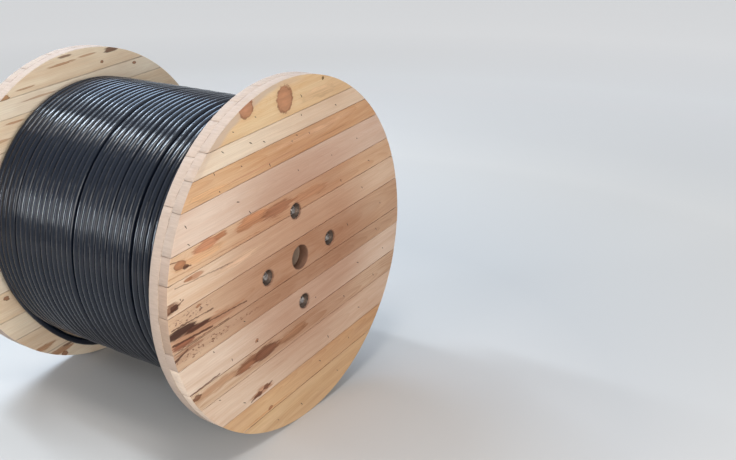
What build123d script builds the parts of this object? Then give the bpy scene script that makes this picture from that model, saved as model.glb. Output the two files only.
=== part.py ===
from build123d import *
import math
import os

os.makedirs("parts", exist_ok=True)

# Wooden cable drum standing on the rims of its two flanges, full of cable.
# Millimetres. X runs along the drum's axis towards the near flange, +Z is up,
# and the floor is Z = 0.

# Flanges: each is two crossed plies of boards, cut to one round
flange_diameter = 1200.0
flange_radius = flange_diameter / 2
ply_thickness = 36.0
inner_width = 904.0
drum_roll = 5.5
edge_gap = 1.2
spindle_hole_radius = 41.0
seat_gap = 0.3

# Boards of the outer near ply: the seams that part them, from the top down,
# as shares of the flange radius above the centre
near_outer_seams = [0.805, 0.703, 0.58, 0.40, 0.27, 0.112, -0.085, -0.185,
                    -0.357, -0.477, -0.66, -0.79]
near_inner_seams = [0.83, 0.70, 0.52, 0.36, 0.22, 0.09, -0.11, -0.28, -0.43, -0.62, -0.80]
far_inner_seams = [0.84, 0.73, 0.55, 0.42, 0.25, 0.10, -0.12, -0.26, -0.44, -0.59, -0.78]
far_outer_seams = [0.82, 0.66, 0.53, 0.34, 0.19, 0.08, -0.10, -0.29, -0.41, -0.60, -0.79]

# Barrel: flat staves round two formers, held between the flanges
barrel_radius = 262.0
stave_thickness = 28.0
stave_count = 20
stave_gap = 2.0
former_thickness = 36.0
former_depth = 28.0

# Through rods, with a nut on each end in a hole bored through the outer ply
rod_count = 4
rod_radius = 10.0
rod_hole_clearance = 1.0
rod_circle_radius = 0.277 * flange_radius
nut_across_flats = 30.0
nut_height = 20.0
spanner_clearance = 8.7
rod_end_length = 7.0

# Winding: one coil, grooved where a gap parts its groups of turns, counted from the far flange
winding_radius = 496.0
turn_count = 33
gap_turns = [5, 10, 16, 22, 26, 31]
gap_width = 18.0
gap_depth = 9.0

turn_pitch = inner_width / turn_count
half_width = inner_width / 2
rod_hole_radius = rod_radius + rod_hole_clearance
nut_corner_radius = nut_across_flats / 2 / math.cos(math.radians(30))
nut_hole_radius = nut_corner_radius + spanner_clearance
ply_faces = [half_width, half_width + ply_thickness, half_width + 2 * ply_thickness]
rod_spots = [(rod_circle_radius * math.cos(math.radians(a)),
              rod_circle_radius * math.sin(math.radians(a)))
             for a in range(0, 360, 360 // rod_count)]
roll_direction = (0, math.cos(math.radians(drum_roll)), math.sin(math.radians(drum_roll)))


def across(x):
    """Plane square to the axis at x, its own x along the flange's level boards."""
    return Plane(origin=(x, 0, flange_radius), x_dir=roll_direction, z_dir=(1, 0, 0))


def strips(seams):
    """Lower edge, upper edge of each board, with half a gap off at every seam."""
    edges = [1.0] + list(seams) + [-1.0]
    for upper, lower in zip(edges, edges[1:]):
        top = upper * flange_radius - (edge_gap / 2 if upper < 1 else 0)
        bottom = lower * flange_radius + (edge_gap / 2 if lower > -1 else 0)
        yield bottom, top


def ply(name, start, side, seams, upright, outermost):
    """One ply of boards from x = start outwards, side +1 near and -1 far."""
    for number, (bottom, top) in enumerate(strips(seams), 1):
        middle, height = (bottom + top) / 2, top - bottom
        with BuildPart() as board:
            with BuildSketch(across(start)):
                Circle(flange_radius)
                spot = (middle, 0) if upright else (0, middle)
                size = (height, flange_diameter) if upright else (flange_diameter, height)
                with Locations(spot):
                    Rectangle(*size, mode=Mode.INTERSECT)
                Circle(spindle_hole_radius, mode=Mode.SUBTRACT)
                with Locations(*rod_spots):
                    Circle(nut_hole_radius if outermost else rod_hole_radius, mode=Mode.SUBTRACT)
            extrude(amount=side * ply_thickness)
        board.part.label = f"{name}_{number:02d}"
        export_step(board.part, f"parts/{name}_{number:02d}.step")


# Near flange, then far flange
ply("near_inner_board", ply_faces[0], 1, near_inner_seams, True, False)
ply("near_outer_board", ply_faces[1], 1, near_outer_seams, False, True)
ply("far_inner_board", -ply_faces[0], -1, far_inner_seams, False, False)
ply("far_outer_board", -ply_faces[1], -1, far_outer_seams, True, True)

# Staves: flat boards whose bevelled edges close the round
facet_angle = math.radians(180 / stave_count)
former_radius = barrel_radius - stave_thickness / math.cos(facet_angle)
with BuildPart() as staves:
    with BuildSketch(across(-half_width)):
        RegularPolygon(barrel_radius, stave_count)
        RegularPolygon(former_radius, stave_count, mode=Mode.SUBTRACT)
        with PolarLocations(barrel_radius - stave_thickness / 2, stave_count):
            Rectangle(2 * stave_thickness, stave_gap, mode=Mode.SUBTRACT)
    extrude(amount=inner_width)
staves.part.label = "barrel_staves"
export_step(staves.part, "parts/barrel_staves.step")

# Formers: a ring at each end that the staves lie on, clear of the rods
with BuildPart() as formers:
    for x, side in ((half_width, -1), (-half_width, 1)):
        with BuildSketch(across(x)):
            RegularPolygon(former_radius, stave_count)
            RegularPolygon(former_radius - former_depth, stave_count, mode=Mode.SUBTRACT)
        extrude(amount=side * former_thickness)
formers.part.label = "barrel_formers"
export_step(formers.part, "parts/barrel_formers.step")

# Through rods
rod_end = ply_faces[1] + nut_height + rod_end_length
with BuildPart() as rods:
    with BuildSketch(across(-rod_end)):
        with Locations(*rod_spots):
            Circle(rod_radius)
    extrude(amount=2 * rod_end)
rods.part.label = "through_rods"
export_step(rods.part, "parts/through_rods.step")

# Nuts, seated on the inner plies
with BuildPart() as nuts:
    for side in (1, -1):
        with BuildSketch(across(side * ply_faces[1])):
            with Locations(*rod_spots):
                RegularPolygon(nut_across_flats / 2, 6, major_radius=False)
        extrude(amount=side * nut_height)
        with BuildSketch(across(side * ply_faces[1])):
            with Locations(*rod_spots):
                Circle(rod_radius + seat_gap)
        extrude(amount=side * nut_height, mode=Mode.SUBTRACT)
nuts.part.label = "rod_nuts"
export_step(nuts.part, "parts/rod_nuts.step")

# Cable winding: turned round the barrel, grooved at its wider gaps
bore = barrel_radius + seat_gap
profile = [(half_width, bore), (-half_width, bore), (-half_width, winding_radius)]
for turns in gap_turns:
    middle = -half_width + turns * turn_pitch
    profile += [(middle - gap_width / 2, winding_radius), (middle, winding_radius - gap_depth),
                (middle + gap_width / 2, winding_radius)]
profile.append((half_width, winding_radius))
with BuildPart() as winding:
    with BuildSketch(Plane(origin=(0, 0, flange_radius), x_dir=(1, 0, 0), z_dir=(0, -1, 0))):
        with BuildLine():
            Polyline(*profile, close=True)
        make_face()
    revolve(axis=Axis((0, 0, flange_radius), (1, 0, 0)))
winding.part.label = "cable_winding"
export_step(winding.part, "parts/cable_winding.step")
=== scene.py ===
"""Dresses the wooden cable drum: sawn crossed boards, clenched nails, steel rod ends and its black cable."""
import logging
import math
import random
from dataclasses import dataclass
from enum import Enum

import bpy
from mathutils import Matrix, Quaternion, Vector, noise


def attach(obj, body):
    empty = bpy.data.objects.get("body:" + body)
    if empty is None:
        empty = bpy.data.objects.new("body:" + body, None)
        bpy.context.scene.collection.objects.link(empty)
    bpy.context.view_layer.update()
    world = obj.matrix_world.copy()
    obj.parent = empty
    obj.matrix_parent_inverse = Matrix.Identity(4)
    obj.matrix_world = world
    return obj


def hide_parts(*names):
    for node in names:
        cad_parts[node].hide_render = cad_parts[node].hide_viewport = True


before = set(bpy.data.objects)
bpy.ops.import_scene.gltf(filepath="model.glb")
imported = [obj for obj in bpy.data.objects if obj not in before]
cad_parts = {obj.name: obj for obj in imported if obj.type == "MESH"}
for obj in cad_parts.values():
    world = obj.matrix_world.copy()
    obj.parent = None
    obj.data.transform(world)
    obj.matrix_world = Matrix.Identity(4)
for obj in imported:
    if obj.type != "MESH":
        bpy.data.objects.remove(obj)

log = logging.getLogger("cable_drum")
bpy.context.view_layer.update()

Colour = tuple[float, float, float]
Point = tuple[float, float, float]
Spot = tuple[float, float]
Socket = bpy.types.NodeSocket
Value = Socket | float | Colour

# sizes of the drum's solids, in metres, and how far the drum is turned about its axis
DRUM_CENTRE = Vector((0.0, 0.0, 0.6))
FLANGE_RADIUS = 0.6
HALF_WIDTH = 0.452
PLY = 0.036
BOLT_RING = 0.1662
DRUM_ROLL = math.radians(5.5)

# an outermost board has no seam at the rim: its edge is put this far out
NO_SEAM = 9.0
# share of the flange radius above which a knot is drawn large, with a halo
LARGE_KNOT = 0.08
# where painted shade with grime fades out in the spindle bore, and a darker ring round each bolt hole, in metres from
# its middle
SPINDLE_SHADE_AND_GRIME = (0.0413, 0.0450)
BOLT_DARK_RING = (0.0262, 0.0325)

# tints and dirt of the boards; the first two tints are painted shade
MIDDLE_SHADE_TINT = (0.74, 0.61, 0.55)
SIDE_SHADE_TINT = (0.93, 0.85, 0.81)
CLOUD_DIRT = (0.52, 0.33, 0.22)
SEAM_DIRT = (0.20, 0.085, 0.045)
HOLE_DARKENING = (0.13, 0.065, 0.045)
WORN_RIM = (0.46, 0.31, 0.22)
RIM_SEAM = (0.22, 0.12, 0.07)
PLY_GAP = (0.12, 0.07, 0.045)

# corners of the solids closer together than the first are joined, and edges sharper than the second are broken
WELD_REACH = 0.00002
SHARP_FROM = math.radians(35)
# widths of the broken edges, in metres
NUT_EDGE = 0.0012
ROD_EDGE = 0.0008
STAVE_EDGE = 0.0012

# steel of the washers and nails, darker than that of the rods
WASHER_STEEL = (0.12, 0.085, 0.065)
NAIL_STEEL = (0.06, 0.045, 0.035)


def toned(colour: Colour, share: float) -> Colour:
    """The colour times a share, kept within 1."""
    return tuple(min(1.0, share * v) for v in colour)


def on_face(x: float, along: float, across: float) -> Vector:
    """Point of the drum in the row frame.

    Args:
        x: place on the drum's axis, in metres.
        along: share of the flange radius along the level boards.
        across: share of the flange radius across the level boards, up.

    Returns:
        The point, turned with the drum about its axis.
    """
    y, z = along * FLANGE_RADIUS, across * FLANGE_RADIUS
    c, s = math.cos(DRUM_ROLL), math.sin(DRUM_ROLL)
    return DRUM_CENTRE + Vector((x, y * c - z * s, y * s + z * c))


class Grain(Enum):
    """Which way a board lies in its flange."""

    LEVEL = "level"
    UPRIGHT = "upright"
    ALONG_DRUM = "along_drum"


@dataclass(frozen=True)
class Knot:
    """One knot of a board, in shares of the flange radius."""

    along: float
    across: float
    width: float
    height: float
    colour: Colour = (0.30, 0.115, 0.05)
    strength: float = 0.85


@dataclass(frozen=True)
class Stain:
    """A patch of heartwood, bark or dirt on a board, in shares of the flange radius."""

    along: float
    across: float
    width: float
    height: float
    colour: Colour = (0.34, 0.145, 0.07)
    strength: float = 0.8
    ragged: float = 1.6
    speckled: bool = False


@dataclass(frozen=True)
class Crack:
    """A thin dark split from one point of a board to another, in shares of the flange radius."""

    start: Spot
    end: Spot
    width: float = 0.0022
    colour: Colour = (0.13, 0.055, 0.03)
    strength: float = 0.85


class NodeBench:
    """Short calls for wiring one material's shader nodes."""

    def __init__(self, name: str) -> None:
        """Opens an empty node material.

        Args:
            name: the material's name.
        """
        self.material = bpy.data.materials.new(name)
        self.material.use_nodes = True
        self.tree = self.material.node_tree
        self.tree.nodes.clear()
        self.column = 0

    def node(self, kind: str, **settings: object) -> bpy.types.Node:
        """Adds one node.

        Args:
            kind: the node's type.
            settings: its properties by name.

        Returns:
            The new node.
        """
        made = self.tree.nodes.new(kind)
        made.location = (self.column * 40, -(self.column % 7) * 60)
        self.column += 1
        for key, value in settings.items():
            setattr(made, key, value)
        return made

    def feed(self, socket: Socket, value: Value) -> None:
        """Links an output, or writes a plain value, into an input socket.

        Args:
            socket: the input.
            value: an output socket, a number or a colour.
        """
        if isinstance(value, Socket):
            self.tree.links.new(value, socket)
        elif isinstance(value, tuple) and len(value) == 3 and socket.type == "RGBA":
            socket.default_value = (*value, 1.0)
        else:
            socket.default_value = value

    def sum(self, operation: str, a: Value, b: Value = 0.0, c: Value = 0.0, clamp: bool = False) -> Socket:
        """One Math node.

        Args:
            operation: what it works out.
            a: first value or socket.
            b: second value or socket.
            c: third value or socket.
            clamp: whether the result is kept between 0 and 1.

        Returns:
            The result.
        """
        made = self.node("ShaderNodeMath", operation=operation, use_clamp=clamp)
        for socket, value in zip(made.inputs, (a, b, c)):
            self.feed(socket, value)
        return made.outputs[0]

    def span(self, value: Value, low: float, high: float, to_low: float = 0.0, to_high: float = 1.0,
             smooth: bool = False) -> Socket:
        """Maps one range of a value to another, clamped.

        Args:
            value: the value or its socket.
            low: start of the range.
            high: end of the range.
            to_low: result at low.
            to_high: result at high.
            smooth: whether the ends are eased.

        Returns:
            The mapped value.
        """
        made = self.node("ShaderNodeMapRange", interpolation_type="SMOOTHSTEP" if smooth else "LINEAR")
        for key, number in (("Value", value), ("From Min", low), ("From Max", high),
                            ("To Min", to_low), ("To Max", to_high)):
            self.feed(made.inputs[key], number)
        return made.outputs[0]

    def mix(self, share: Value, a: Value, b: Value, blend: str = "MIX") -> Socket:
        """Mixes two colours.

        Args:
            share: how much of b, from 0 to 1.
            a: first colour or its socket.
            b: second colour or its socket.
            blend: the blend mode.

        Returns:
            The mixed colour.
        """
        made = self.node("ShaderNodeMix", data_type="RGBA", blend_type=blend)
        self.feed(made.inputs[0], share)
        self.feed(made.inputs[6], a)
        self.feed(made.inputs[7], b)
        return made.outputs[2]

    def vector(self, x: Value, y: Value, z: Value) -> Socket:
        """Joins three values into a vector.

        Args:
            x: first part.
            y: second part.
            z: third part.

        Returns:
            The vector.
        """
        made = self.node("ShaderNodeCombineXYZ")
        for socket, value in zip(made.inputs, (x, y, z)):
            self.feed(socket, value)
        return made.outputs[0]

    def noise(self, place: Socket, scale: float, detail: float = 2.0, seed: float = 0.0,
              rough: float = 0.5) -> Socket:
        """Noise between 0 and 1.

        Args:
            place: where it is read.
            scale: waves to the unit.
            detail: finer layers on top.
            seed: which noise it is.
            rough: strength of the finer layers.

        Returns:
            The noise.
        """
        made = self.node("ShaderNodeTexNoise", noise_dimensions="4D")
        self.feed(made.inputs["Vector"], place)
        for key, number in (("W", seed), ("Scale", scale), ("Detail", detail), ("Roughness", rough)):
            self.feed(made.inputs[key], number)
        return made.outputs["Fac"]

    def length(self, a: Socket, b: Socket) -> Socket:
        """Length of the vector a, b."""
        return self.sum("SQRT", self.sum("ADD", self.sum("MULTIPLY", a, a), self.sum("MULTIPLY", b, b)))

    def finish(self, colour: Value, roughness: Value, height: Socket | None = None, strength: float = 0.3,
               distance: float = 0.001, **sockets: Value) -> bpy.types.Material:
        """Ends the material in a Principled shader, with bump from a height.

        Args:
            colour: base colour or its socket.
            roughness: roughness or its socket.
            height: bump height socket, or None for none.
            strength: bump strength.
            distance: bump distance in metres.
            sockets: further shader inputs by name, spaces written as underscores.

        Returns:
            The finished material.
        """
        shader = self.node("ShaderNodeBsdfPrincipled")
        self.feed(shader.inputs["Base Color"], colour)
        self.feed(shader.inputs["Roughness"], roughness)
        if height is not None:
            bump = self.node("ShaderNodeBump")
            bump.inputs["Strength"].default_value = strength
            bump.inputs["Distance"].default_value = distance
            self.feed(bump.inputs["Height"], height)
            self.feed(shader.inputs["Normal"], bump.outputs[0])
        for key, value in sockets.items():
            self.feed(shader.inputs[key.replace("_", " ")], value)
        out = self.node("ShaderNodeOutputMaterial")
        self.tree.links.new(shader.outputs[0], out.inputs[0])
        return self.material


@dataclass(frozen=True)
class BoardField:
    """Places on a board that its whole finish reads, in metres from the drum's axis."""

    bench: NodeBench
    seed: float
    depth: Socket
    level: Socket
    up: Socket
    from_axis: Socket
    along: Socket
    across: Socket
    thick: Socket

    @classmethod
    def on_drum(cls, bench: NodeBench, grain: Grain, seed: float) -> "BoardField":
        """Turns the place with the drum and lays it along the grain.

        Args:
            bench: the material that is wired.
            grain: which way the board lies.
            seed: start of the board's own noise.

        Returns:
            The board's field.
        """
        place = bench.node("ShaderNodeTexCoord").outputs["Object"]
        centred = bench.node("ShaderNodeVectorMath", operation="SUBTRACT")
        bench.feed(centred.inputs[0], place)
        centred.inputs[1].default_value = DRUM_CENTRE
        turned = bench.node("ShaderNodeVectorRotate", rotation_type="X_AXIS")
        bench.feed(turned.inputs["Vector"], centred.outputs[0])
        turned.inputs["Angle"].default_value = -DRUM_ROLL
        parts = bench.node("ShaderNodeSeparateXYZ")
        bench.feed(parts.inputs[0], turned.outputs[0])
        depth, level, up = parts.outputs
        laid = {Grain.LEVEL: (level, up, depth), Grain.UPRIGHT: (up, level, depth),
                Grain.ALONG_DRUM: (depth, level, up)}[grain]
        return cls(bench, seed, depth, level, up, bench.length(level, up), *laid)

    def grained(self, fine_along: float, fine_across: float, seed: float, detail: float) -> Socket:
        """Noise drawn out along the grain.

        Args:
            fine_along: waves to the metre along the grain.
            fine_across: waves to the metre across it.
            seed: which noise it is.
            detail: finer layers on top.

        Returns:
            The noise.
        """
        bench = self.bench
        spot = bench.vector(bench.sum("MULTIPLY", self.along, fine_along),
                            bench.sum("MULTIPLY", self.across, fine_across),
                            bench.sum("MULTIPLY", self.thick, fine_across))
        return bench.noise(spot, 1.0, detail, self.seed + seed, 0.58)

    def sawn(self, fine_deep: float, fine_round: float, seed: float, rough: float) -> Socket:
        """Noise of the sawn rim.

        Args:
            fine_deep: waves to the metre along the drum's axis.
            fine_round: waves to the metre round the rim.
            seed: which noise it is.
            rough: strength of the finer layers.

        Returns:
            The noise.
        """
        bench = self.bench
        spot = bench.vector(bench.sum("MULTIPLY", self.depth, fine_deep),
                            bench.sum("MULTIPLY", self.level, fine_round),
                            bench.sum("MULTIPLY", self.up, fine_round))
        return bench.noise(spot, 1.0, 4.0, self.seed + seed, rough)

    def reach(self, mark: Knot | Stain) -> Socket:
        """Distance from a mark's middle, 1 on its outline.

        Args:
            mark: the knot or stain.

        Returns:
            The distance, in half widths and heights.
        """
        bench = self.bench
        dx = bench.sum("DIVIDE", bench.sum("SUBTRACT", self.along, mark.along * FLANGE_RADIUS),
                       mark.width * FLANGE_RADIUS / 2)
        dy = bench.sum("DIVIDE", bench.sum("SUBTRACT", self.across, mark.across * FLANGE_RADIUS),
                       mark.height * FLANGE_RADIUS / 2)
        return bench.length(dx, dy)

    def split(self, crack: Crack, torn: Socket, wander: Socket) -> Socket:
        """Strength of a crack, its line a little crooked.

        Args:
            crack: the crack.
            torn: noise that thickens and thins it.
            wander: noise that bends it.

        Returns:
            The strength, 0 away from the crack.
        """
        bench = self.bench
        (a, b), (c, d) = crack.start, crack.end
        run, rise = (c - a) * FLANGE_RADIUS, (d - b) * FLANGE_RADIUS
        dx = bench.sum("SUBTRACT", self.along, a * FLANGE_RADIUS)
        dy = bench.sum("SUBTRACT", self.across, b * FLANGE_RADIUS)
        passed = bench.sum("ADD", bench.sum("MULTIPLY", dx, run), bench.sum("MULTIPLY", dy, rise))
        share = bench.sum("DIVIDE", passed, run * run + rise * rise, clamp=True)
        dx = bench.sum("SUBTRACT", dx, bench.sum("MULTIPLY", share, run))
        dy = bench.sum("SUBTRACT", dy, bench.sum("MULTIPLY", share, rise))
        dy = bench.sum("ADD", dy, bench.sum("MULTIPLY", wander, 0.006))
        width = bench.sum("MULTIPLY", bench.span(torn, 0.3, 0.65, 0.4, 1.3), crack.width)
        thin = bench.sum("DIVIDE", bench.length(dx, dy), width)
        return bench.span(thin, 0.5, 1.2, crack.strength, 0.0, True)


@dataclass(frozen=True)
class SawnBoardFinish:
    """Rough-sawn softwood with growth rings, knots, stains, cracks and a pale sawn rim."""

    name: str
    pale: Colour
    late: Colour
    grain: Grain
    seed: float
    edges: Spot = (-NO_SEAM, NO_SEAM)
    middle: float = 0.0
    pith_depth: float = 0.05
    ring_gap: float = 0.0042
    contrast: float = 0.5
    blotch: float = 0.35
    knots: tuple[Knot, ...] = ()
    stains: tuple[Stain, ...] = ()
    cracks: tuple[Crack, ...] = ()
    rim: Colour = (0.53, 0.40, 0.315)
    seam: float = 0.3
    painted_shade: bool = False
    dirt: float = 0.25
    margin: float = 0.0

    def make(self) -> bpy.types.Material:
        """Builds the board's material.

        Returns:
            The finished material.
        """
        bench = NodeBench(self.name)
        board = BoardField.on_drum(bench, self.grain, self.seed)

        # growth rings, drawn out along the board and bent round each knot
        drift = board.grained(1.6, 7.0, 0.0, 2.5)
        side = bench.sum("ADD", bench.sum("SUBTRACT", board.across, self.middle),
                         bench.sum("MULTIPLY_ADD", drift, 0.075, -0.0375))
        down = bench.sum("ADD", board.thick, bench.sum("MULTIPLY_ADD", board.along, 0.05, self.pith_depth))
        radius = bench.length(side, down)
        wander = bench.sum("MULTIPLY_ADD", board.grained(70.0, 90.0, 31.0, 3.0), 1.5, -0.75)
        reaches = []
        for knot in self.knots:
            reach = board.reach(knot)
            radius = bench.sum("ADD", radius, bench.span(reach, 0.4, 2.6, 0.016, 0.0, True))
            crooked = 0.4 if knot.width > LARGE_KNOT else 1.3
            reaches.append((knot, bench.sum("MULTIPLY_ADD", wander, crooked, reach)))
        late = bench.sum("POWER", bench.sum("FRACT", bench.sum("DIVIDE", radius, self.ring_gap)), 2.2)
        fibre = board.grained(9.0, 420.0, 3.1, 2.0)
        streak = board.grained(2.4, 52.0, 7.7, 3.0)
        blotch = board.grained(4.0, 12.0, 11.3, 3.0)
        patchy = bench.sum("MULTIPLY", bench.span(blotch, 0.3, 0.65, 0.45, 1.0), self.contrast)
        share = bench.sum("MULTIPLY", late, patchy)
        share = bench.sum("ADD", share, bench.span(streak, 0.38, 0.70, -0.14, 0.55))
        share = bench.sum("ADD", share, bench.span(blotch, 0.35, 0.7, -0.1, self.blotch), clamp=True)
        colour = bench.mix(share, self.pale, self.late)
        colour = bench.mix(bench.span(fibre, 0.30, 0.72, 0.0, 0.30), colour, toned(self.late, 0.62))

        # painted shade, use and age, seams, marks, holes and rim, each laid over what comes before
        colour = self.worn(board, colour, blotch)
        line = self.seam_line(board)
        colour = bench.mix(line, colour, SEAM_DIRT)
        torn = board.grained(13.0, 70.0, 17.0, 5.0)
        colour = self.stained(board, colour, torn, streak, fibre)
        for crack in self.cracks:
            colour = bench.mix(board.split(crack, torn, wander), colour, crack.colour)
        colour = self.knotted(bench, colour, reaches, torn)
        colour = self.darkened_holes(board, colour, torn)
        colour, relief = self.sawn_rim(board, colour, line)

        rough = bench.span(fibre, 0.2, 0.8, 0.62, 0.84)
        height = bench.sum("ADD", bench.sum("MULTIPLY", late, 0.25), fibre)
        height = bench.sum("ADD", height, relief)
        height = bench.sum("SUBTRACT", height, bench.sum("MULTIPLY", line, 1.5))
        return bench.finish(colour, rough, height, 0.5, 0.0009, Specular_IOR_Level=0.22)

    def worn(self, board: BoardField, colour: Socket, blotch: Socket) -> Socket:
        """Painted shade, darker and browner round the middle and towards one side, clouds of dirt and a pale margin
        beside the rim.

        Args:
            board: the board's field.
            colour: colour so far.
            blotch: noise that breaks up the margins.

        Returns:
            The new colour.
        """
        bench = board.bench
        if self.painted_shade:
            # painted shade: the middle of the near face is darker and browner, standing in for shade cast by
            # neighbouring drums
            middle_shade_reach = bench.sum("ADD", board.from_axis, bench.sum("MULTIPLY_ADD", blotch, 0.20, -0.10))
            colour = bench.mix(bench.span(middle_shade_reach, 0.22, 0.50, 1.0, 0.0, True), colour, MIDDLE_SHADE_TINT, "MULTIPLY")
            # painted shade: darker and warmer towards the side where level grows
            colour = bench.mix(bench.span(board.level, -0.25, 0.25), colour, SIDE_SHADE_TINT, "MULTIPLY")
        cloud = board.grained(5.0, 16.0, 37.0, 5.0)
        colour = bench.mix(bench.span(cloud, 0.46, 0.72, 0.0, self.dirt), colour, CLOUD_DIRT)
        if self.margin:
            border = bench.sum("ADD", board.from_axis, bench.sum("MULTIPLY_ADD", blotch, 0.05, -0.025))
            left = bench.span(board.level, -0.05, 0.12, self.margin, 0.0)
            outer = bench.sum("MULTIPLY", bench.span(border, 0.575, 0.59, 0.0, 1.0, True), left)
            colour = bench.mix(outer, colour, self.rim)
        return colour

    def seam_line(self, board: BoardField) -> Socket:
        """Strength of the dark lines along the board's two seams.

        Args:
            board: the board's field.

        Returns:
            The strength, 0 away from the seams.
        """
        bench = board.bench
        near_edge = bench.sum("MINIMUM", bench.sum("SUBTRACT", board.across, self.edges[0]),
                              bench.sum("SUBTRACT", self.edges[1], board.across))
        uneven = bench.span(board.grained(14.0, 3.0, 41.0, 3.0), 0.40, 0.60, 0.1, 1.0)
        return bench.sum("MULTIPLY", bench.span(near_edge, 0.0008, 0.0034, self.seam, 0.0, True), uneven)

    def stained(self, board: BoardField, colour: Socket, torn: Socket, streak: Socket, fibre: Socket) -> Socket:
        """Lays the stains on, ragged along the grain.

        Args:
            board: the board's field.
            colour: colour so far.
            torn: noise that tears the outlines.
            streak: broad streaks of the wood.
            fibre: fine fibres of the wood.

        Returns:
            The new colour.
        """
        bench = board.bench
        specks = board.grained(100.0, 190.0, 19.0, 1.0)
        feather = bench.sum("MULTIPLY_ADD", board.grained(16.0, 300.0, 43.0, 4.0), 1.1, -0.55)
        for stain in self.stains:
            ragged = bench.sum("MULTIPLY_ADD", torn, stain.ragged, -0.5 * stain.ragged)
            edge = bench.sum("ADD", bench.sum("ADD", board.reach(stain), ragged), feather)
            mask = bench.span(edge, 0.60, 0.98, stain.strength, 0.0, True)
            if stain.speckled:
                mask = bench.sum("MULTIPLY", mask, bench.span(specks, 0.57, 0.66))
            shaded = bench.mix(bench.span(streak, 0.36, 0.62), toned(stain.colour, 1.45), stain.colour)
            shaded = bench.mix(bench.span(fibre, 0.45, 0.75, 0.0, 0.7), shaded, toned(stain.colour, 0.5))
            outline = bench.sum("ABSOLUTE", bench.sum("SUBTRACT", edge, 0.66))
            shaded = bench.mix(bench.span(outline, 0.0, 0.12, 0.5, 0.0), shaded, toned(stain.colour, 0.55))
            colour = bench.mix(mask, colour, shaded)
        return colour

    def knotted(self, bench: NodeBench, colour: Socket, reaches: list[tuple[Knot, Socket]],
                torn: Socket) -> Socket:
        """Lays the knots on, each with a dark ring.

        Args:
            bench: the material that is wired.
            colour: colour so far.
            reaches: each knot with the distance from it.
            torn: noise that mottles them.

        Returns:
            The new colour.
        """
        for knot, reach in reaches:
            large = knot.width > LARGE_KNOT
            if large:
                halo = bench.span(reach, 0.9, 1.6, 0.30, 0.0, True)
                colour = bench.mix(halo, colour, tuple(0.4 * a + 0.6 * b for a, b in zip(knot.colour, self.late)))
            inside = bench.mix(bench.span(reach, 0.1, 0.75, 0.6 if large else 0.2, 0.0, True), knot.colour,
                               toned(knot.colour, 1.35))
            inside = bench.mix(bench.span(torn, 0.42, 0.62, 0.0, 0.5), inside, toned(knot.colour, 0.6))
            colour = bench.mix(bench.span(reach, 0.82, 1.0, knot.strength, 0.0, True), colour, inside)
            ring = bench.span(bench.sum("ABSOLUTE", bench.sum("SUBTRACT", reach, 0.88)), 0.02, 0.13, 0.7, 0.0, True)
            ring = bench.sum("MULTIPLY", ring, bench.span(torn, 0.35, 0.55, 0.25, 1.0))
            colour = bench.mix(ring, colour, toned(knot.colour, 0.5))
        return colour

    @staticmethod
    def darkened_holes(board: BoardField, colour: Socket, torn: Socket) -> Socket:
        """Lays painted shade with grime in the spindle bore, and a darker ring round each bolt hole.

        Args:
            board: the board's field.
            colour: colour so far.
            torn: noise that breaks it up.

        Returns:
            The new colour.
        """
        bench = board.bench
        beside, above = bench.sum("ABSOLUTE", board.level), bench.sum("ABSOLUTE", board.up)
        bolt = bench.sum("MINIMUM", bench.length(bench.sum("SUBTRACT", beside, BOLT_RING), board.up),
                         bench.length(board.level, bench.sum("SUBTRACT", above, BOLT_RING)))
        round_bolts = bench.sum("MULTIPLY", bench.span(bolt, *BOLT_DARK_RING, 0.85, 0.0, True),
                                bench.span(torn, 0.30, 0.62, 1.0, 0.45))
        # painted shade with grime in the spindle bore; a darker ring round each bolt hole
        grime = bench.sum("MAXIMUM", bench.span(board.from_axis, *SPINDLE_SHADE_AND_GRIME, 0.75, 0.0), round_bolts)
        return bench.mix(grime, colour, HOLE_DARKENING)

    def sawn_rim(self, board: BoardField, colour: Socket, line: Socket) -> tuple[Socket, Socket]:
        """Lays the pale sawn rim on, with saw marks and a dark line where the plies part.

        Args:
            board: the board's field.
            colour: colour so far.
            line: strength of the seams.

        Returns:
            The new colour, and the rim's own relief.
        """
        bench = board.bench
        facing = bench.node("ShaderNodeSeparateXYZ")
        bench.feed(facing.inputs[0], bench.node("ShaderNodeNewGeometry").outputs["True Normal"])
        flat = bench.sum("ABSOLUTE", facing.outputs[0])
        on_rim = bench.sum("MULTIPLY", bench.span(flat, 0.55, 0.9, 1.0, 0.0),
                           bench.span(board.from_axis, 0.575, 0.585))
        saw = board.sawn(26.0, 210.0, 23.0, 0.6)
        worn = board.sawn(30.0, 22.0, 29.0, 0.65)
        edge = bench.mix(bench.span(saw, 0.35, 0.72, 0.0, 0.5), self.rim, toned(self.rim, 0.66))
        edge = bench.mix(bench.span(worn, 0.55, 0.75, 0.0, 0.45), edge, WORN_RIM)
        edge = bench.mix(bench.sum("MULTIPLY", line, 0.8), edge, RIM_SEAM)
        depth = bench.sum("ABSOLUTE", board.depth)
        parting = bench.sum("ABSOLUTE", bench.sum("SUBTRACT", depth, HALF_WIDTH + PLY))
        gap = bench.sum("MULTIPLY", bench.span(parting, 0.0008, 0.0022, 0.8, 0.0), bench.span(worn, 0.50, 0.60))
        edge = bench.mix(gap, edge, PLY_GAP)
        relief = bench.sum("MULTIPLY", bench.sum("ADD", saw, worn), bench.sum("MULTIPLY", on_rim, 1.5))
        return bench.mix(on_rim, colour, edge), relief


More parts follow.
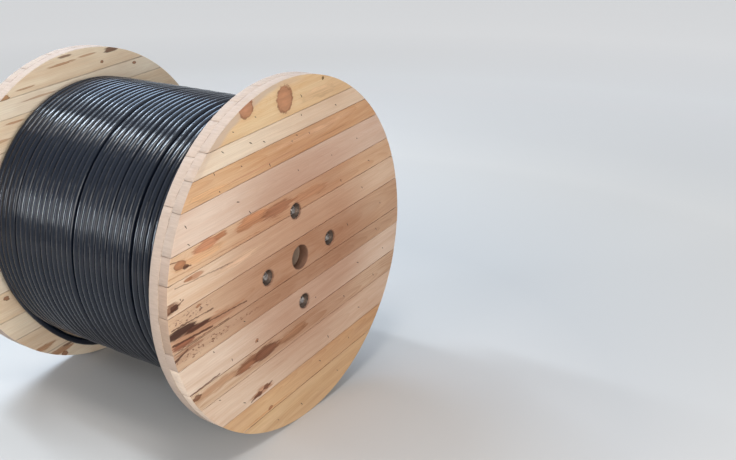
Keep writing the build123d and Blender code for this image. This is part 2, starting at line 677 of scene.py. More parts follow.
@dataclass(frozen=True)
class SheathFinish:
    """Glossy black cable sheath with faint dust and handling marks."""

    name: str = "black_sheath"
    colour: Colour = (0.006, 0.009, 0.017)
    dusty: Colour = (0.03, 0.033, 0.04)

    def make(self) -> bpy.types.Material:
        """Builds the sheath's material.

        Returns:
            The finished material.
        """
        bench = NodeBench(self.name)
        place = bench.node("ShaderNodeTexCoord").outputs["Object"]
        dust = bench.noise(place, 30.0, 5.0, 2.0, 0.65)
        fine = bench.noise(place, 420.0, 2.0, 5.0)
        wave = bench.noise(place, 30.0, 3.0, 9.0)
        colour = bench.mix(bench.span(dust, 0.55, 0.8, 0.0, 0.3), self.colour, self.dusty)
        rough = bench.sum("ADD", bench.span(dust, 0.4, 0.75, 0.06, 0.18),
                          bench.span(fine, 0.3, 0.8, 0.0, 0.05))
        height = bench.sum("ADD", wave, bench.sum("MULTIPLY", fine, 0.16))
        return bench.finish(colour, rough, height, 0.42, 0.0026, Specular_IOR_Level=0.36)


@dataclass(frozen=True)
class SteelFinish:
    """Dull zinc-plated steel, darker in patches of grime, with an optional thread."""

    name: str
    colour: Colour = (0.44, 0.40, 0.37)
    threaded: bool = False
    grimy: Colour = (0.07, 0.045, 0.035)
    half_pitch: float = 0.00125

    def make(self) -> bpy.types.Material:
        """Builds the steel's material.

        Returns:
            The finished material.
        """
        bench = NodeBench(self.name)
        place = bench.node("ShaderNodeTexCoord").outputs["Object"]
        grime = bench.noise(place, 60.0, 4.0, 4.0, 0.6)
        colour = bench.mix(bench.span(grime, 0.40, 0.62, 0.0, 0.85), self.colour, self.grimy)
        height = grime
        if self.threaded:
            parts = bench.node("ShaderNodeSeparateXYZ")
            bench.feed(parts.inputs[0], place)
            height = bench.sum("DIVIDE", bench.sum("PINGPONG", parts.outputs[0], self.half_pitch), self.half_pitch)
        rough = bench.span(grime, 0.3, 0.7, 0.24, 0.6)
        return bench.finish(colour, rough, height, 0.6, 0.0012, Metallic=0.85)


class MeshBench:
    """Gathers vertices and faces of one piece."""

    def __init__(self) -> None:
        """Starts with nothing."""
        self.points: list[Point] = []
        self.faces: list[tuple[int, ...]] = []

    def tube(self, path: list[Vector], radii: list[float], sides: int, up: list[Vector]) -> None:
        """Adds a closed-ended tube along a path, its section square to the path.

        Args:
            path: middles of the sections.
            radii: radius at each.
            sides: sides of the section.
            up: direction of the first side at each.
        """
        start = len(self.points)
        for number, (centre, radius) in enumerate(zip(path, radii)):
            ahead = path[min(number + 1, len(path) - 1)] - path[max(number - 1, 0)]
            ahead.normalize()
            out = (up[number] - ahead * up[number].dot(ahead)).normalized()
            side = ahead.cross(out)
            for k in range(sides):
                turn = 2 * math.pi * k / sides
                corner = centre + out * (radius * math.cos(turn)) + side * (radius * math.sin(turn))
                self.points.append(tuple(corner))
        for number in range(len(path) - 1):
            for k in range(sides):
                a, b = start + number * sides + k, start + number * sides + (k + 1) % sides
                self.faces.append((a, b, b + sides, a + sides))
        self.faces.append(tuple(start + k for k in reversed(range(sides))))
        last = start + (len(path) - 1) * sides
        self.faces.append(tuple(last + k for k in range(sides)))

    def piece(self, name: str, material: bpy.types.Material) -> bpy.types.Object:
        """Makes the object, smooth, dressed and riding on the drum.

        Args:
            name: the piece's name.
            material: its finish.

        Returns:
            The new object.
        """
        mesh = bpy.data.meshes.new(name)
        mesh.from_pydata(self.points, [], self.faces)
        mesh.materials.append(material)
        mesh.polygons.foreach_set("use_smooth", [True] * len(mesh.polygons))
        mesh.update()
        made = bpy.data.objects.new(name, mesh)
        bpy.context.scene.collection.objects.link(made)
        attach(made, "root")
        return made


def dress_node(name: str, material: bpy.types.Material, edge: float) -> None:
    """Gives a node of the solids its material and softly broken edges.

    Args:
        name: the node.
        material: its finish.
        edge: width of the broken edges, in metres.
    """
    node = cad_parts[name]
    node.data.materials.clear()
    node.data.materials.append(material)
    weld = node.modifiers.new("joined_faces", "WELD")
    weld.merge_threshold = WELD_REACH
    bevel = node.modifiers.new("broken_edges", "BEVEL")
    bevel.width = edge
    bevel.segments = 2
    bevel.limit_method = "ANGLE"
    bevel.angle_limit = SHARP_FROM
    bevel.harden_normals = False
    log.info("%s dressed in %s", name, material.name)


@dataclass
class Flanges:
    """The two flanges of crossed boards.

    The near outer seams are shares of the flange radius, from the top down. Each tone is a pale and a late wood,
    lifted as painted light for the shaded far inner face. Each other group of boards has the start of its nodes'
    names, its grain and its place on the drum's axis, in metres.
    """

    edge: float = 0.0016
    near_seams: tuple[float, ...] = (1.0, 0.805, 0.703, 0.58, 0.40, 0.27, 0.112, -0.085, -0.185, -0.357, -0.477,
                                     -0.66, -0.79, -1.0)
    tones: tuple[tuple[Colour, Colour], ...] = (
        ((0.90, 0.76, 0.58), (0.80, 0.61, 0.42)), ((0.88, 0.71, 0.52), (0.76, 0.54, 0.34)),
        ((0.91, 0.79, 0.62), (0.83, 0.66, 0.49)), ((0.89, 0.74, 0.55), (0.77, 0.56, 0.37)),
        ((0.90, 0.77, 0.60), (0.80, 0.62, 0.44)), ((0.87, 0.70, 0.52), (0.73, 0.52, 0.34)))
    groups: tuple[tuple[str, Grain, float], ...] = (
        ("near_inner_board", Grain.UPRIGHT, 0.47), ("far_inner_board", Grain.LEVEL, -0.47),
        ("far_outer_board", Grain.UPRIGHT, -0.5))

    @staticmethod
    def near_looks() -> dict[int, dict[str, object]]:
        """Tones and marks of the near flange's outer boards, numbered from the top down.

        Returns:
            The settings of each board's finish.
        """
        red = (0.44, 0.19, 0.10)
        dark = (0.085, 0.030, 0.017)
        brown = (0.36, 0.15, 0.07)
        return {
            1: dict(pale=(0.80, 0.61, 0.37), late=(0.72, 0.46, 0.24), contrast=0.3, blotch=0.5, margin=0.75,
                    knots=(Knot(0.0, 0.902, 0.135, 0.155, red), Knot(-0.295, 0.935, 0.11, 0.10, red),
                           Knot(-0.255, 0.985, 0.05, 0.05, red), Knot(0.33, 0.925, 0.022, 0.018, (0.09, 0.05, 0.01))),
                    stains=(Stain(0.28, 0.86, 0.4, 0.07, (0.60, 0.38, 0.22), 0.5),)),
            2: dict(pale=(0.81, 0.66, 0.50), late=(0.72, 0.52, 0.36), contrast=0.28, margin=0.4,
                    cracks=(Crack((-0.79, 0.70), (-0.75, 0.735)),)),
            3: dict(pale=(0.71, 0.45, 0.26), late=(0.58, 0.30, 0.14), contrast=0.55, rim=(0.50, 0.38, 0.30),
                    stains=(Stain(-0.05, 0.612, 1.5, 0.012, (0.42, 0.20, 0.11), 0.6, 1.0),
                            Stain(-0.62, 0.61, 0.4, 0.05, (0.60, 0.34, 0.17), 0.6),
                            Stain(0.2, 0.665, 0.9, 0.03, (0.58, 0.33, 0.2), 0.5))),
            4: dict(pale=(0.76, 0.59, 0.47), late=(0.68, 0.47, 0.35), contrast=0.25, rim=(0.51, 0.39, 0.31)),
            5: dict(pale=(0.76, 0.53, 0.35), late=(0.62, 0.36, 0.20), contrast=0.45, rim=(0.49, 0.36, 0.28),
                    knots=(Knot(-0.87, 0.345, 0.085, 0.045, brown), Knot(-0.83, 0.322, 0.04, 0.02, dark)),
                    stains=(Stain(-0.72, 0.33, 0.42, 0.07, (0.62, 0.33, 0.16), 0.6),
                            Stain(-0.66, 0.372, 0.27, 0.065, (0.44, 0.18, 0.09), 0.85),
                            Stain(-0.58, 0.38, 0.12, 0.04, brown, 0.8),
                            Stain(-0.34, 0.36, 0.30, 0.085, (0.44, 0.19, 0.09), 0.85),
                            Stain(-0.14, 0.345, 0.30, 0.09, (0.30, 0.12, 0.06), 0.85),
                            Stain(0.14, 0.335, 0.42, 0.08, brown, 0.5)),
                    cracks=(Crack((-0.935, 0.375), (-0.86, 0.365), 0.0022),
                            Crack((-0.90, 0.33), (-0.80, 0.315), 0.0026),
                            Crack((-0.95, 0.30), (-0.30, 0.285), 0.0014, brown, 0.6))),
            6: dict(pale=(0.79, 0.60, 0.44), late=(0.66, 0.43, 0.28), contrast=0.35, rim=(0.48, 0.33, 0.24),
                    knots=(Knot(-0.83, 0.252, 0.05, 0.02, brown), Knot(-0.945, 0.15, 0.05, 0.035, dark),),
                    stains=(Stain(-0.45, 0.20, 0.5, 0.05, (0.62, 0.40, 0.26), 0.6),
                            Stain(-0.96, 0.15, 0.12, 0.06, (0.20, 0.08, 0.04), 0.85),
                            Stain(-0.78, 0.25, 0.12, 0.035, brown, 0.7)),
                    cracks=(Crack((-0.92, 0.243), (-0.52, 0.205), 0.0016, dark, 0.6),
                            Crack((-0.99, 0.135), (-0.88, 0.165), 0.0034))),
            7: dict(pale=(0.66, 0.45, 0.30), late=(0.50, 0.29, 0.17), contrast=0.45, rim=(0.48, 0.33, 0.235), dirt=0.5,
                    knots=(Knot(-0.79, 0.09, 0.035, 0.016, brown),),
                    stains=(Stain(-0.80, -0.035, 0.62, 0.085, (0.42, 0.20, 0.11), 0.75),
                            Stain(-0.86, 0.07, 0.34, 0.06, (0.16, 0.065, 0.04), 0.9, 1.2, True),
                            Stain(-0.93, 0.012, 0.25, 0.058, (0.050, 0.018, 0.011), 0.97, 1.1),
                            Stain(-0.81, -0.012, 0.22, 0.036, (0.080, 0.028, 0.016), 0.95, 1.1),
                            Stain(-0.92, -0.055, 0.24, 0.040, (0.24, 0.085, 0.045), 0.9, 1.3)),
                    cracks=(Crack((-0.98, 0.045), (-0.70, 0.03), 0.0028, dark, 0.8),
                            Crack((-0.80, -0.02), (-0.46, -0.048), 0.0030, dark, 0.8),
                            Crack((-0.99, -0.035), (-0.72, -0.062), 0.0036, dark, 0.9),
                            Crack((-0.96, -0.075), (-0.60, -0.078), 0.0022, dark, 0.7))),
            8: dict(pale=(0.62, 0.42, 0.28), late=(0.47, 0.28, 0.17), contrast=0.4, rim=(0.55, 0.41, 0.32), dirt=0.5,
                    stains=(Stain(-0.84, -0.13, 0.44, 0.075, (0.17, 0.07, 0.04), 0.9, 1.2, True),
                            Stain(-0.55, -0.12, 0.40, 0.05, (0.22, 0.10, 0.06), 0.75, 1.4, True),
                            Stain(-0.88, -0.10, 0.26, 0.02, (0.30, 0.14, 0.08), 0.7)),
                    cracks=(Crack((-1.0, -0.125), (-0.90, -0.098), 0.0046, dark, 0.9),)),
            # painted light: the rims of boards 9, 10, 11 and 13 are much paler than those above, standing in for light
            # the floor throws on the lower rim
            9: dict(pale=(0.79, 0.63, 0.50), late=(0.66, 0.46, 0.33), contrast=0.25, rim=(0.84, 0.65, 0.50),
                    knots=(Knot(-0.42, -0.31, 0.03, 0.022, brown),),
                    cracks=(Crack((-0.93, -0.352), (-0.72, -0.346), 0.003),)),
            10: dict(pale=(0.71, 0.53, 0.38), late=(0.48, 0.27, 0.15), contrast=0.6, rim=(0.83, 0.64, 0.49),
                     knots=(Knot(-0.895, -0.388, 0.065, 0.036, (0.20, 0.08, 0.04)),),
                     stains=(Stain(-0.74, -0.40, 0.46, 0.06, (0.44, 0.23, 0.12), 0.7),
                             Stain(-0.50, -0.405, 0.26, 0.075, (0.24, 0.095, 0.045), 0.95),
                             Stain(-0.36, -0.41, 0.26, 0.085, (0.16, 0.06, 0.03), 0.95),
                             Stain(-0.12, -0.42, 0.3, 0.07, (0.26, 0.11, 0.05), 0.7))),
            11: dict(pale=(0.74, 0.56, 0.42), late=(0.62, 0.40, 0.27), contrast=0.3, rim=(0.84, 0.65, 0.50),
                     knots=(Knot(-0.46, -0.632, 0.075, 0.030, (0.15, 0.055, 0.03)),
                            Knot(-0.385, -0.618, 0.055, 0.030, (0.17, 0.065, 0.035))),
                     stains=(Stain(-0.43, -0.625, 0.20, 0.06, brown, 0.7),),
                     cracks=(Crack((-0.52, -0.645), (-0.34, -0.612), 0.0026, dark, 0.8),)),
            12: dict(pale=(0.70, 0.45, 0.25), late=(0.56, 0.31, 0.15), contrast=0.6,
                     knots=(Knot(-0.38, -0.77, 0.04, 0.02, brown),),
                     stains=(Stain(-0.42, -0.775, 0.5, 0.012, (0.50, 0.24, 0.10), 0.7, 1.0),)),
            13: dict(pale=(0.72, 0.49, 0.28), late=(0.57, 0.34, 0.17), contrast=0.6, rim=(0.83, 0.64, 0.49)),
        }

    @staticmethod
    def far_marks() -> dict[int, tuple[tuple[Knot, ...], tuple[Stain, ...]]]:
        """Knots and stains of the far flange's inner boards, numbered from the top down.

        Returns:
            The marks of each board that has some.
        """
        bark, streak = (0.15, 0.07, 0.04), (0.40, 0.19, 0.09)
        return {
            1: ((Knot(0.21, 0.885, 0.03, 0.022), Knot(-0.515, 0.855, 0.07, 0.05, (0.46, 0.22, 0.09))),
                (Stain(-0.08, 0.943, 0.24, 0.018, streak, 0.8), Stain(-0.05, 0.982, 0.16, 0.022, bark, 0.8),
                 Stain(0.30, 0.945, 0.16, 0.04, bark, 0.9), Stain(0.12, 0.95, 0.18, 0.016, streak, 0.7),
                 Stain(-0.37, 0.87, 0.16, 0.014, streak, 0.7))),
            2: ((Knot(0.465, 0.815, 0.03, 0.02),), (Stain(-0.30, 0.80, 0.3, 0.014, streak, 0.6),)),
            3: ((), (Stain(-0.485, 0.70, 0.16, 0.02, streak, 0.8), Stain(-0.60, 0.62, 0.2, 0.02, streak, 0.6))),
            9: ((Knot(-0.80, -0.30, 0.05, 0.03),), ()),
            11: ((), (Stain(-0.64, -0.735, 0.24, 0.05, streak, 0.85),)),
            12: ((Knot(-0.50, -0.85, 0.05, 0.035),),
                 (Stain(-0.53, -0.815, 0.26, 0.05, streak, 0.85), Stain(-0.46, -0.80, 0.12, 0.02, bark, 0.85))),
        }

    def near_outer(self) -> None:
        """Dresses the boards of the near flange's outer face, one finish each."""
        looks = self.near_looks()
        for number, look in looks.items():
            top, bottom = (v * FLANGE_RADIUS for v in self.near_seams[number - 1:number + 1])
            edges = (bottom if number < len(looks) else -NO_SEAM, top if number > 1 else NO_SEAM)
            finish = SawnBoardFinish(f"sawn_board_{number:02d}", grain=Grain.LEVEL, seed=number * 3.7, edges=edges,
                                     middle=(top + bottom) / 2 + 0.02 * math.sin(number * 2.3),
                                     pith_depth=-0.50 + 0.03 * math.cos(number * 1.7),
                                     ring_gap=0.0042 + 0.0006 * (number % 4), painted_shade=True, **look)
            dress_node(f"near_outer_board_{number:02d}", finish.make(), self.edge)

    def others(self) -> None:
        """Dresses the crossed and the far boards, in six tones in turn."""
        marks = self.far_marks()
        random.seed(11)
        for group, grain, face in self.groups:
            names = sorted(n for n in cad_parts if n.startswith(group))
            for number, name in enumerate(names):
                pale, late = self.tones[(number * 5 + len(group)) % len(self.tones)]
                low, high = self.span_across(name, grain)
                middle = (low + high) / 2
                knots = tuple(self.loose_knot(middle / FLANGE_RADIUS) for _ in range(random.choice((0, 1, 1, 2))))
                stains: tuple[Stain, ...] = ()
                # painted light: the shared tones are lifted for the shaded far inner face; the far outer boards, which
                # the lamps light strongly, are toned back down
                if group == "far_inner_board":
                    knots, stains = marks.get(number + 1, ((), ()))
                elif group == "far_outer_board":
                    pale, late = toned(pale, 0.84), toned(late, 0.80)
                edges = (low if number + 1 < len(names) else -NO_SEAM, high if number else NO_SEAM)
                finish = SawnBoardFinish(f"{group}_wood_{number + 1:02d}", pale, late, grain, 40 + number * 2.9, edges,
                                         middle=middle + random.uniform(-0.03, 0.03),
                                         pith_depth=-face + random.uniform(-0.02, 0.02),
                                         ring_gap=random.uniform(0.0036, 0.0052),
                                         contrast=random.uniform(0.35, 0.6), knots=knots, stains=stains)
                dress_node(name, finish.make(), self.edge)

    @staticmethod
    def span_across(name: str, grain: Grain) -> Spot:
        """Reach of a board across its grain.

        Args:
            name: the board's node.
            grain: which way it lies.

        Returns:
            Its lower and upper edge, in metres from the drum's axis.
        """
        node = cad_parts[name]
        c, s = math.cos(DRUM_ROLL), math.sin(DRUM_ROLL)
        values = []
        for vertex in node.data.vertices:
            spot = node.matrix_world @ vertex.co - DRUM_CENTRE
            values.append(spot.z * c - spot.y * s if grain is Grain.LEVEL else spot.y * c + spot.z * s)
        return min(values), max(values)

    @staticmethod
    def loose_knot(middle: float) -> Knot:
        """A knot somewhere on a board.

        Args:
            middle: the board's middle across its grain, in shares of the flange radius.

        Returns:
            The knot.
        """
        size = random.uniform(0.025, 0.06)
        return Knot(random.uniform(-0.75, 0.75), middle + random.uniform(-0.04, 0.04), size * 1.4, size,
                    (0.36, 0.16, 0.08), 0.85)


@dataclass
class ClenchedNails:
    """Nails driven through both plies, their points bent over and hammered flat.

    Their places are shares of the flange radius, and sunk is a share of the shank's radius.
    """

    shank: float = 0.0016
    length: float = 0.017
    sunk: float = 0.75
    steps: int = 6
    sides: int = 6
    seen: tuple[Spot, ...] = (
        (-0.50, 0.785), (-0.30, 0.765), (-0.20, 0.74), (-0.57, 0.70), (0.06, 0.69), (0.02, 0.67), (0.17, 0.67),
        (0.42, 0.755), (0.12, 0.787), (0.13, 0.89), (-0.24, 0.88), (-0.41, 0.855), (-0.38, 0.67), (-0.17, 0.61),
        (-0.55, 0.60), (-0.44, 0.50), (-0.36, 0.42), (-0.80, 0.425), (-0.80, 0.52), (-0.58, -0.61), (-0.75, -0.49),
        (-0.33, -0.88), (-0.90, 0.18), (-0.78, 0.08), (-0.62, -0.31), (-0.74, -0.20), (-0.50, -0.15), (-0.42, -0.31))
    hidden: tuple[Spot, ...] = (
        (0.60, 0.50), (0.35, 0.48), (0.70, 0.33), (0.42, 0.31), (0.62, 0.19), (0.80, 0.02), (0.45, 0.02),
        (0.74, -0.13), (0.52, -0.27), (0.80, -0.29), (0.36, -0.42), (0.68, -0.42), (0.50, -0.57), (0.18, -0.60),
        (0.38, -0.72), (0.08, -0.72), (-0.12, -0.90), (0.24, -0.88), (0.05, 0.50), (0.10, -0.30))

    def build(self, steel: bpy.types.Material) -> None:
        """Lays the bent points on both outer faces.

        Args:
            steel: their finish.
        """
        random.seed(5)
        spots = self.seen + self.hidden
        for name, side in (("near_nail_points", 1), ("far_nail_points", -1)):
            bench = MeshBench()
            for along, across in spots:
                self.point(bench, side, along, across)
            bench.piece(name, steel)
            log.info("%s: %d points", name, len(spots))

    def point(self, bench: MeshBench, side: int, along: float, across: float) -> None:
        """One bent point, its shank partly sunk in the face.

        Args:
            bench: where it is gathered.
            side: +1 on the near face, -1 on the far one.
            along: its place, as a share of the flange radius.
            across: its place across the level boards.
        """
        turn = math.radians(random.uniform(-75, -20))
        length = self.length * random.uniform(0.55, 1.2)
        face = side * (HALF_WIDTH + 2 * PLY)
        start = on_face(face, along, across)
        way = (on_face(face, along + math.cos(turn), across + math.sin(turn)) - start).normalized()
        out = Vector((side, 0, 0))
        path, radii = [], []
        for step in range(self.steps + 1):
            t = step / self.steps
            lift = math.sin(math.pi * min(1.0, t * 1.3)) * self.shank * 0.5
            path.append(start + way * (t * length) + out * (lift - self.shank * self.sunk))
            radii.append(self.shank * (1.0 - 0.75 * t ** 2))
        bench.tube(path, radii, self.sides, [out] * len(path))


@dataclass
class CupWashers:
    """Pressed steel cups that line the bored holes and carry the nuts."""

    wall: float = 0.0012
    floor_radius: float = 0.0205
    rim_radius: float = 0.0252
    bolt_radius: float = 0.0108
    ring: float = BOLT_RING
    sunk: float = 0.0045
    play: float = 0.0002
    steps: int = 40

    def build(self, steel: bpy.types.Material) -> None:
        """Builds the four cups of each flange.

        Args:
            steel: their finish.
        """
        ring = self.ring / FLANGE_RADIUS
        for name, side in (("near_cup_washers", 1), ("far_cup_washers", -1)):
            bench = MeshBench()
            for quarter in range(4):
                turn = math.pi / 2 * quarter
                self.cup(bench, side, ring * math.cos(turn), ring * math.sin(turn))
            bench.piece(name, steel)
            log.info("%s: 4 cups", name)

    def cup(self, bench: MeshBench, side: int, along: float, across: float) -> None:
        """One cup: a bored floor, a sloping wall and a rolled rim.

        Args:
            bench: where it is gathered.
            side: +1 in the near flange, -1 in the far one.
            along: its middle, as a share of the flange radius.
            across: its middle across the level boards.
        """
        floor, lip = HALF_WIDTH + PLY + self.play, HALF_WIDTH + 2 * PLY - self.sunk

        # out over the floor, up the wall, over the rolled rim and back inside
        profile = [(self.bolt_radius, floor), (self.floor_radius, floor), (self.rim_radius - 0.001, lip - 0.001),
                   (self.rim_radius + 0.0004, lip), (self.rim_radius - 0.0016, lip + 0.0008),
                   (self.floor_radius - self.wall, floor + self.wall), (self.bolt_radius, floor + self.wall)]
        start = len(bench.points)
        for step in range(self.steps):
            turn = 2 * math.pi * step / self.steps
            for radius, x in profile:
                bench.points.append(tuple(on_face(side * x, along + radius * math.cos(turn) / FLANGE_RADIUS,
                                                  across + radius * math.sin(turn) / FLANGE_RADIUS)))
        count = len(profile)
        for step in range(self.steps):
            here, there = start + step * count, start + (step + 1) % self.steps * count
            for k in range(count):
                after = (k + 1) % count
                corners = (here + k, here + after, there + after, there + k)
                bench.faces.append(corners if side > 0 else corners[::-1])


@dataclass(frozen=True)
class Gap:
    """A wider gap between two groups of turns: after which turn, how wide, and its lean in radians."""

    turn: int
    width: float
    lean: float


@dataclass
class Winding:
    """The cable, turn beside turn over the layer below.

    Sizes are in metres. The depth of the under layer is in widths of the cable, and the place and the spread of the
    slack are counted in turns.
    """

    node: str = "cable_winding"
    cable: float = 0.0262
    outer: float = 0.496
    turns: int = 33
    steps: int = 84
    sides: int = 12
    gaps: tuple[Gap, ...] = (Gap(5, 0.004, 0.2), Gap(10, 0.004, 0.4), Gap(16, 0.008, 0.9), Gap(22, 0.003, 1.2),
                             Gap(26, 0.009, 0.3), Gap(31, 0.006, 0.6))
    slack: float = 0.062
    slack_turn: float = 0.95
    slack_spread: float = 0.085
    under_depth: float = 1.36
    under_turns: int = 34
    under_steps: int = 60
    under_sides: int = 8
    play: float = 0.0015
    first_angle: float = math.radians(-80)
    sway: float = 0.0035
    wander: float = 0.0016
    swell: float = 0.0022

    def build(self, sheath: bpy.types.Material) -> None:
        """Builds the outer turns and the layer under them in place of the plain coil.

        Args:
            sheath: the cable's finish.
        """
        outer = MeshBench()
        self.layer(outer, self.outer - self.cable / 2, self.turns, self.gaps, self.steps, self.sides, 1, self.slack)
        top = outer.piece("outer_turns", sheath)
        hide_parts(self.node)
        inner = MeshBench()
        self.layer(inner, self.outer - self.cable * self.under_depth, self.under_turns, (), self.under_steps,
                   self.under_sides, -1)
        under = inner.piece("turns_under", sheath)
        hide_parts(self.node)
        log.info("winding: %d turns", self.turns)

    def layer(self, bench: MeshBench, radius: float, turns: int, gaps: tuple[Gap, ...], steps: int, sides: int,
              hand: int, slack: float = 0.0) -> None:
        """One layer of turns as a single helix that wanders a little.

        Args:
            bench: where the tube is gathered.
            radius: distance of the cable's middle from the drum's axis.
            turns: number of turns.
            gaps: the wider gaps.
            steps: points on each turn.
            sides: sides of the cable's section.
            hand: +1 or -1, the way the layer advances.
            slack: how far the first turn sags away at the bottom.
        """
        room = 2 * HALF_WIDTH - self.cable - 2 * self.play
        pitch = (room - sum(gap.width for gap in gaps)) / turns
        path, radii, ups = [], [], []
        for number in range(turns * steps + 1):
            turn = number / steps
            angle = self.first_angle + 2 * math.pi * turn
            level, up = math.cos(angle), math.sin(angle)
            x = -HALF_WIDTH + self.cable / 2 + self.play + turn * pitch
            for gap in gaps:
                past = turn - gap.turn + 0.25 * math.sin(angle + gap.lean)
                x += gap.width * min(1.0, max(0.0, past * 3.0 + 0.5))
            x += self.sway * math.sin(angle * hand + 0.6) * math.sin(math.pi * turn / turns)
            x += self.wander * noise.noise(Vector((turn * 0.9, level * 1.3, up * 1.3)))
            out = Vector((0, level, up))
            lift = self.swell * noise.noise(Vector((turn * 1.7 + 40, level * 1.1, up * 1.1)))
            lift += slack * math.exp(-((turn - self.slack_turn) / self.slack_spread) ** 2)
            path.append(DRUM_CENTRE + Vector((x, 0, 0)) + out * (radius + lift))
            radii.append(self.cable / 2)
            ups.append(out)
        bench.tube(path, radii, sides, ups)


def shown_rays(tree: bpy.types.NodeTree) -> Socket:
    """Tells rays that show a thing, straight or in gloss or glass, from those that only light.

    Args:
        tree: the node tree that is wired.

    Returns:
        1 for a ray that shows and 0 for one that only lights.
    """
    ray = tree.nodes.new("ShaderNodeLightPath")
    shown = ray.outputs["Is Camera Ray"]
    for kind in ("Is Glossy Ray", "Is Transmission Ray"):
        either = tree.nodes.new("ShaderNodeMath")
        either.operation = "MAXIMUM"
        tree.links.new(shown, either.inputs[0])
        tree.links.new(ray.outputs[kind], either.inputs[1])
        shown = either.outputs[0]
    return shown


@dataclass(frozen=True)
class Lamp:
    """A rectangular lamp that points at a spot, turned so many degrees in its own plane."""

    name: str
    place: Point
    aim: Point
    size: Spot
    watts: float
    tint: Colour
    turn: float = 0.0

    def hang(self) -> None:
        """Hangs the lamp so that only its light is seen."""
        data = bpy.data.lights.new(self.name, "AREA")
        data.shape, data.size, data.size_y = "RECTANGLE", *self.size
        data.energy, data.color = self.watts, self.tint
        lamp = bpy.data.objects.new(self.name, data)
        lamp.visible_camera = False
        lamp.location = self.place
        lamp.rotation_mode = "QUATERNION"
        aimed = (Vector(self.aim) - Vector(self.place)).to_track_quat("-Z", "Y")
        lamp.rotation_quaternion = aimed @ Quaternion((0, 0, 1), math.radians(self.turn))
        bpy.context.scene.collection.objects.link(lamp)


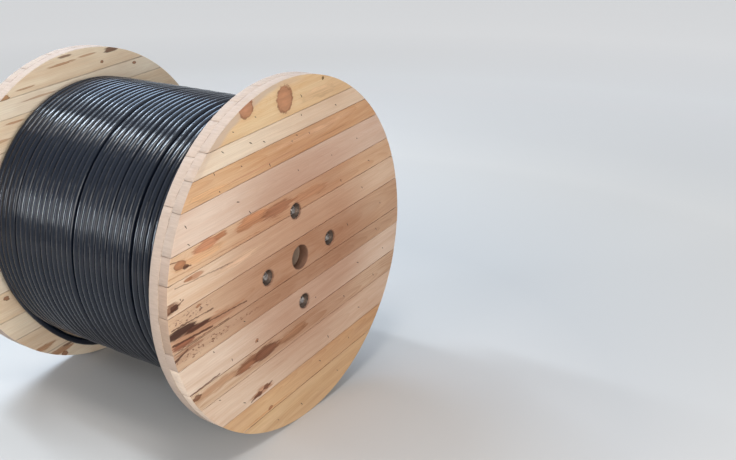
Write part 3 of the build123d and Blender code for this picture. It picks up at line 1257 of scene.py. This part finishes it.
@dataclass
class Studio:
    """Camera, lamps, pale floor and room, with angles in degrees.

    The room has one colour and strength as light on the drum and another where it shows.
    """

    lens: float = 44.945
    sensor: float = 36.0
    place: Point = (2.29328, -2.20717, 1.74192)
    yaw: float = 124.163
    pitch: float = 20.376
    roll: float = -0.135
    sky_strength: float = 0.68
    sky_angle: float = 48.0
    sky_tint: Colour = (0.76, 0.88, 1.0)
    sky_lean: Spot = (-6.0, -10.0)
    lamps: tuple[Lamp, ...] = (
        Lamp("front_fill", (3.3, -2.0, 1.3), (0.4, -0.3, 0.62), (2.4, 1.8), 86, (1.0, 0.97, 0.93)),
        Lamp("high_front", (1.5, -1.2, 4.5), (-0.3, 0, 0.9), (1.0, 1.0), 52, (1.0, 0.97, 0.93)),
        Lamp("ceiling_strip", (-2.15, -0.45, 3.95), (0, -0.1, 0.9), (0.27, 2.75), 94, (0.74, 0.87, 1.0), -18.0),
        Lamp("further_strip", (-2.3, 0.6, 4.0), (0, -0.1, 0.9), (0.26, 2.6), 36, (0.70, 0.84, 1.0), -18.0),
        Lamp("blue_panel", (-2.8, 2.0, 3.8), (0, 0, 0.9), (1.9, 1.8), 70, (0.52, 0.72, 1.0)),
        Lamp("low_far_panel", (-3.5, -2.5, 1.15), (0, -0.3, 0.7), (0.62, 0.95), 60, (0.78, 0.89, 1.0)),
        Lamp("low_side_panel", (0.1, -4.4, 1.75), (0, -0.3, 0.7), (0.5, 1.0), 34, (0.95, 0.97, 1.0)))
    room_light: tuple[Colour, float] = ((0.82, 0.90, 1.0), 0.36)
    room_shown: tuple[Colour, float] = ((0.66, 0.70, 0.745), 1.0)
    floor_reach: float = 30.0
    floor_near: Colour = (0.55, 0.525, 0.50)
    floor_round: Colour = (0.77, 0.70, 0.63)
    floor_far: Colour = (1.0, 0.925, 0.86)
    floor_glow: Colour = (1.0, 0.97, 0.94)
    floor_unseen: Colour = (0.36, 0.355, 0.35)

    def camera(self) -> None:
        """Sets the camera where the drum is seen as it stands."""
        data = bpy.data.cameras.new("camera")
        data.lens, data.sensor_width = self.lens, self.sensor
        data.clip_start, data.clip_end = 0.05, 200.0
        camera = bpy.data.objects.new("camera", data)
        yaw, pitch, roll = (math.radians(v) for v in (self.yaw, self.pitch, self.roll))
        ahead = Vector((math.cos(yaw) * math.cos(pitch), math.sin(yaw) * math.cos(pitch), -math.sin(pitch)))
        right = Vector((math.sin(yaw), -math.cos(yaw), 0))
        up = right.cross(ahead)
        across = right * math.cos(roll) + up * math.sin(roll)
        above = up * math.cos(roll) - right * math.sin(roll)
        turn = Matrix((across, above, -ahead)).transposed()
        camera.matrix_world = Matrix.Translation(self.place) @ turn.to_4x4()
        bpy.context.scene.collection.objects.link(camera)
        bpy.context.scene.camera = camera

    def light(self) -> None:
        """Lights the drum from above, in front and beyond it."""
        data = bpy.data.lights.new("overhead", "SUN")
        data.energy, data.angle, data.color = self.sky_strength, math.radians(self.sky_angle), self.sky_tint
        overhead = bpy.data.objects.new("overhead", data)
        overhead.rotation_euler = (*(math.radians(v) for v in self.sky_lean), 0)
        bpy.context.scene.collection.objects.link(overhead)
        for lamp in self.lamps:
            lamp.hang()

    def world(self) -> None:
        """Sets the pale room, dimmer as light on the drum than as it shows."""
        world = bpy.data.worlds.new("pale_room")
        world.use_nodes = True
        nodes, links = world.node_tree.nodes, world.node_tree.links
        nodes.clear()
        mixed, out = nodes.new("ShaderNodeMixShader"), nodes.new("ShaderNodeOutputWorld")
        links.new(shown_rays(world.node_tree), mixed.inputs[0])
        for number, (tint, strength) in enumerate((self.room_light, self.room_shown), 1):
            room = nodes.new("ShaderNodeBackground")
            room.inputs[0].default_value, room.inputs[1].default_value = (*tint, 1.0), strength
            links.new(room.outputs[0], mixed.inputs[number])
        links.new(mixed.outputs[0], out.inputs[0])
        bpy.context.scene.world = world

    def floor(self) -> None:
        """Lays the plain pale floor, greyer under and round the drum."""
        mesh = bpy.data.meshes.new("pale_floor")
        far = self.floor_reach
        mesh.from_pydata([(-far, -far, 0.0), (far, -far, 0.0), (far, far, 0.0), (-far, far, 0.0)], [], [(0, 1, 2, 3)])
        bench = NodeBench("pale_floor")
        shown = shown_rays(bench.tree)
        length = bench.node("ShaderNodeVectorMath", operation="LENGTH")
        bench.feed(length.inputs[0], bench.node("ShaderNodeTexCoord").outputs["Object"])
        away = length.outputs["Value"]
        pale = bench.mix(bench.span(away, 1.6, 3.2), self.floor_near, self.floor_round)
        pale = bench.mix(bench.span(away, 3.0, 6.0), pale, self.floor_far)
        glow = bench.sum("MULTIPLY", shown, bench.span(away, 4.0, 9.0, 0.0, 0.17))
        colour = bench.mix(shown, self.floor_unseen, pale)
        mesh.materials.append(bench.finish(colour, 0.85, Emission_Strength=glow, Emission_Color=self.floor_glow))
        made = bpy.data.objects.new("pale_floor", mesh)
        bpy.context.scene.collection.objects.link(made)


def main() -> None:
    """Builds every sub-assembly in order."""
    logging.basicConfig(level=logging.INFO, format="%(message)s")
    bpy.context.scene.view_settings.view_transform = "Standard"
    studio = Studio()
    studio.camera()
    studio.light()
    studio.world()
    studio.floor()
    flanges = Flanges()
    flanges.near_outer()
    flanges.others()
    Winding().build(SheathFinish().make())
    dress_node("rod_nuts", SteelFinish("zinc_steel").make(), NUT_EDGE)
    dress_node("through_rods", SteelFinish("threaded_steel", threaded=True).make(), ROD_EDGE)
    CupWashers().build(SteelFinish("washer_steel", WASHER_STEEL).make())
    ClenchedNails().build(SteelFinish("nail_steel", NAIL_STEEL).make())
    barrel = SawnBoardFinish("barrel_wood", pale=(0.58, 0.42, 0.26), late=(0.45, 0.28, 0.15), grain=Grain.ALONG_DRUM,
                             seed=71.0).make()
    dress_node("barrel_staves", barrel, STAVE_EDGE)
    dress_node("barrel_formers", barrel, STAVE_EDGE)


if __name__ == "__main__":
    main()
